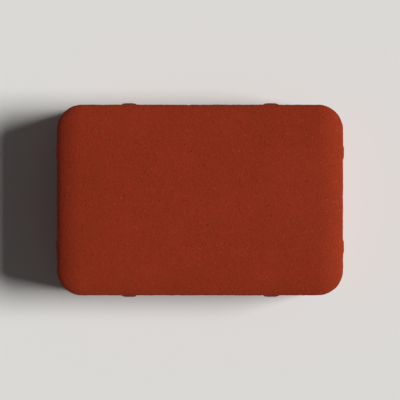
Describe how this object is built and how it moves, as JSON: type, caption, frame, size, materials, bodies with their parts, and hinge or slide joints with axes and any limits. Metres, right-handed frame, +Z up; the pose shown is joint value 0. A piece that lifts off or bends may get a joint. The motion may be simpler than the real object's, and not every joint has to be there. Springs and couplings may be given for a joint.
{
  "type": "paving stone",
  "caption": "Oblong concrete paving stone with rounded corners, a soft arris round a slightly crowned face, and spacer nibs on its flanks.",
  "frame": {"origin": "middle of the flat base that the stone is bedded on", "axes": "+X along the stone, +Y across it, +Z up through the walked-on face"},
  "size_m": [0.1834, 0.1234, 0.06],
  "materials": {
    "red_concrete": "matte"
  },
  "bodies": {
    "root": {"paving_stone": "red_concrete"}
  },
  "joints": []
}
